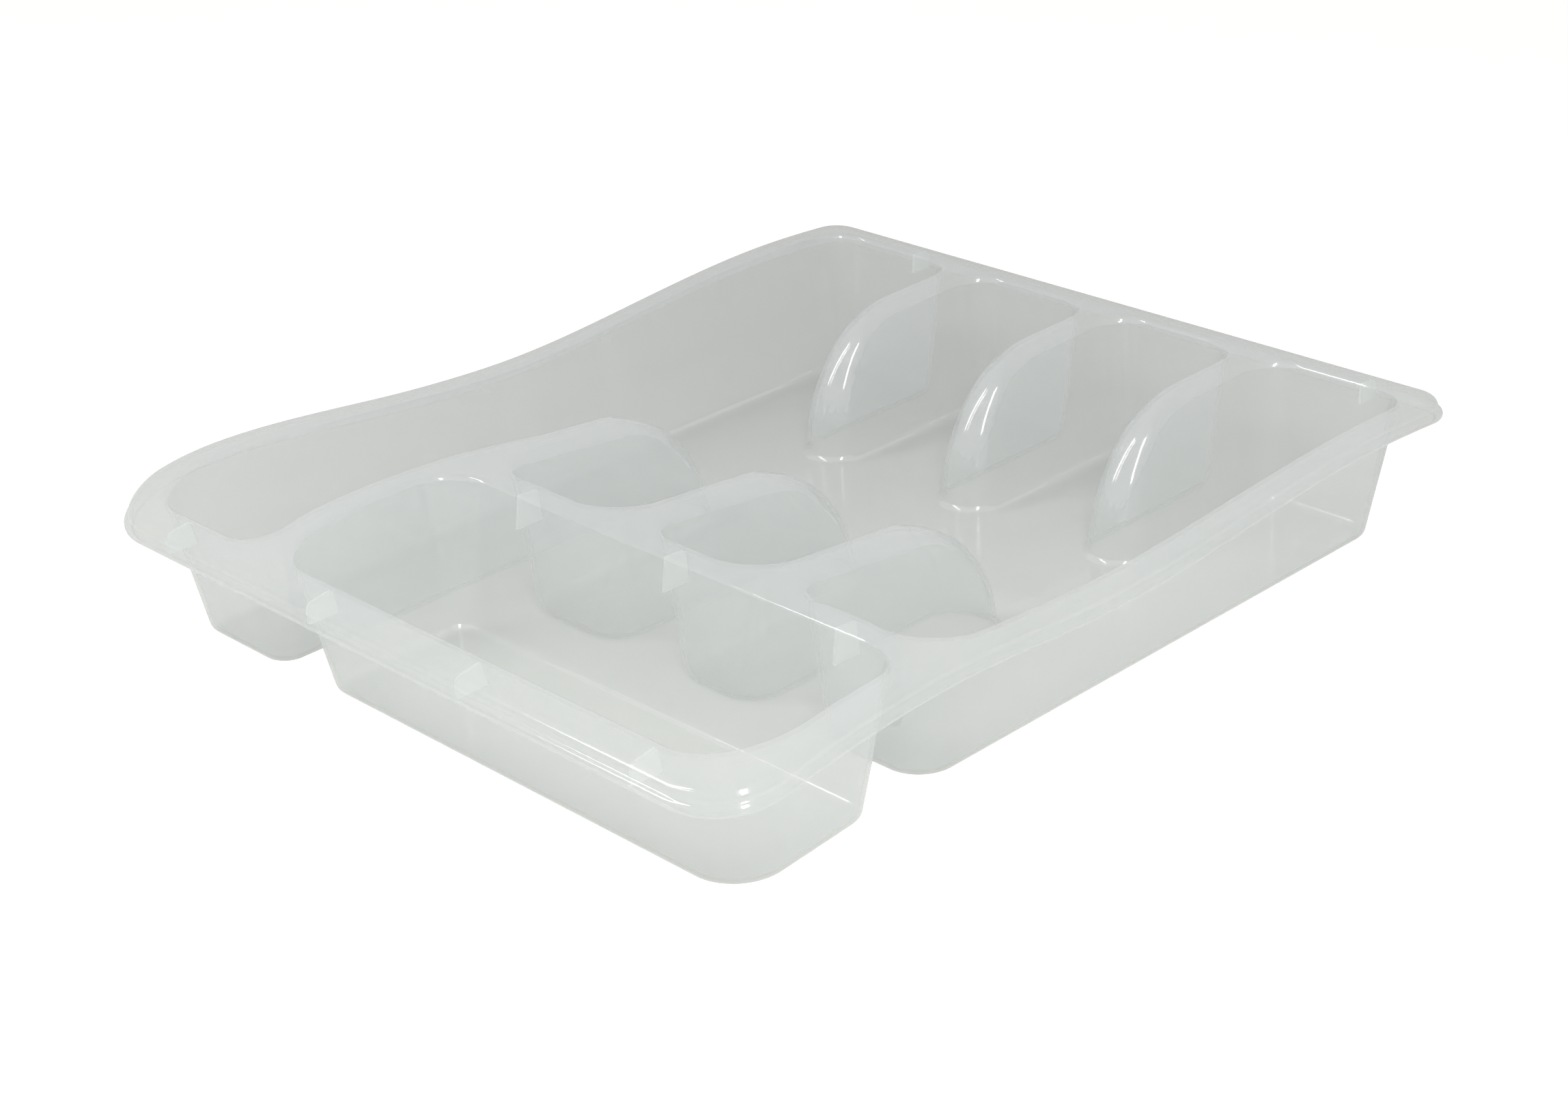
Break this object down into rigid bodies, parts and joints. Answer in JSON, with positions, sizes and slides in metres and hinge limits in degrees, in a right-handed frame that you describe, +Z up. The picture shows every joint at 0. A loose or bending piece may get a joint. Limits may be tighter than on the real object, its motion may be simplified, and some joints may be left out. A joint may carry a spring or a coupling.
{
  "type": "cutlery tray",
  "caption": "Shallow moulded drawer tray in milky-clear plastic, with a wavy rolled rim, a long cell on the left, a wide cell across the front, and cells between half dividers.",
  "frame": {"origin": "centre of the rim's length and width, on the plane the tray stands on", "axes": "+X to the right as the user stands at the drawer, +Y to the back of the drawer, +Z up"},
  "size_m": [0.3466, 0.3836, 0.0604],
  "materials": {
    "milky_plastic": "smooth semi-gloss, milky clear"
  },
  "bodies": {
    "root": {"rim_front": "milky_plastic", "rim_back": "milky_plastic", "rim_left": "milky_plastic", "rim_right": "milky_plastic", "floor_left_cell": "milky_plastic", "floor_front_cell": "milky_plastic", "floor_back_cells": "milky_plastic", "wall_front": "milky_plastic", "wall_back": "milky_plastic", "wall_left": "milky_plastic", "wall_right": "milky_plastic", "divider_left": "milky_plastic", "divider_cross": "milky_plastic", "front_fin_left": "milky_plastic", "front_fin_middle": "milky_plastic", "front_fin_right": "milky_plastic", "back_fin_left": "milky_plastic", "back_fin_middle": "milky_plastic", "back_fin_right": "milky_plastic", "rim_ribs_front": "milky_plastic", "rim_ribs_back": "milky_plastic", "rim_ribs_left": "milky_plastic", "rim_ribs_right": "milky_plastic", "divider_ribs": "milky_plastic"}
  },
  "joints": []
}
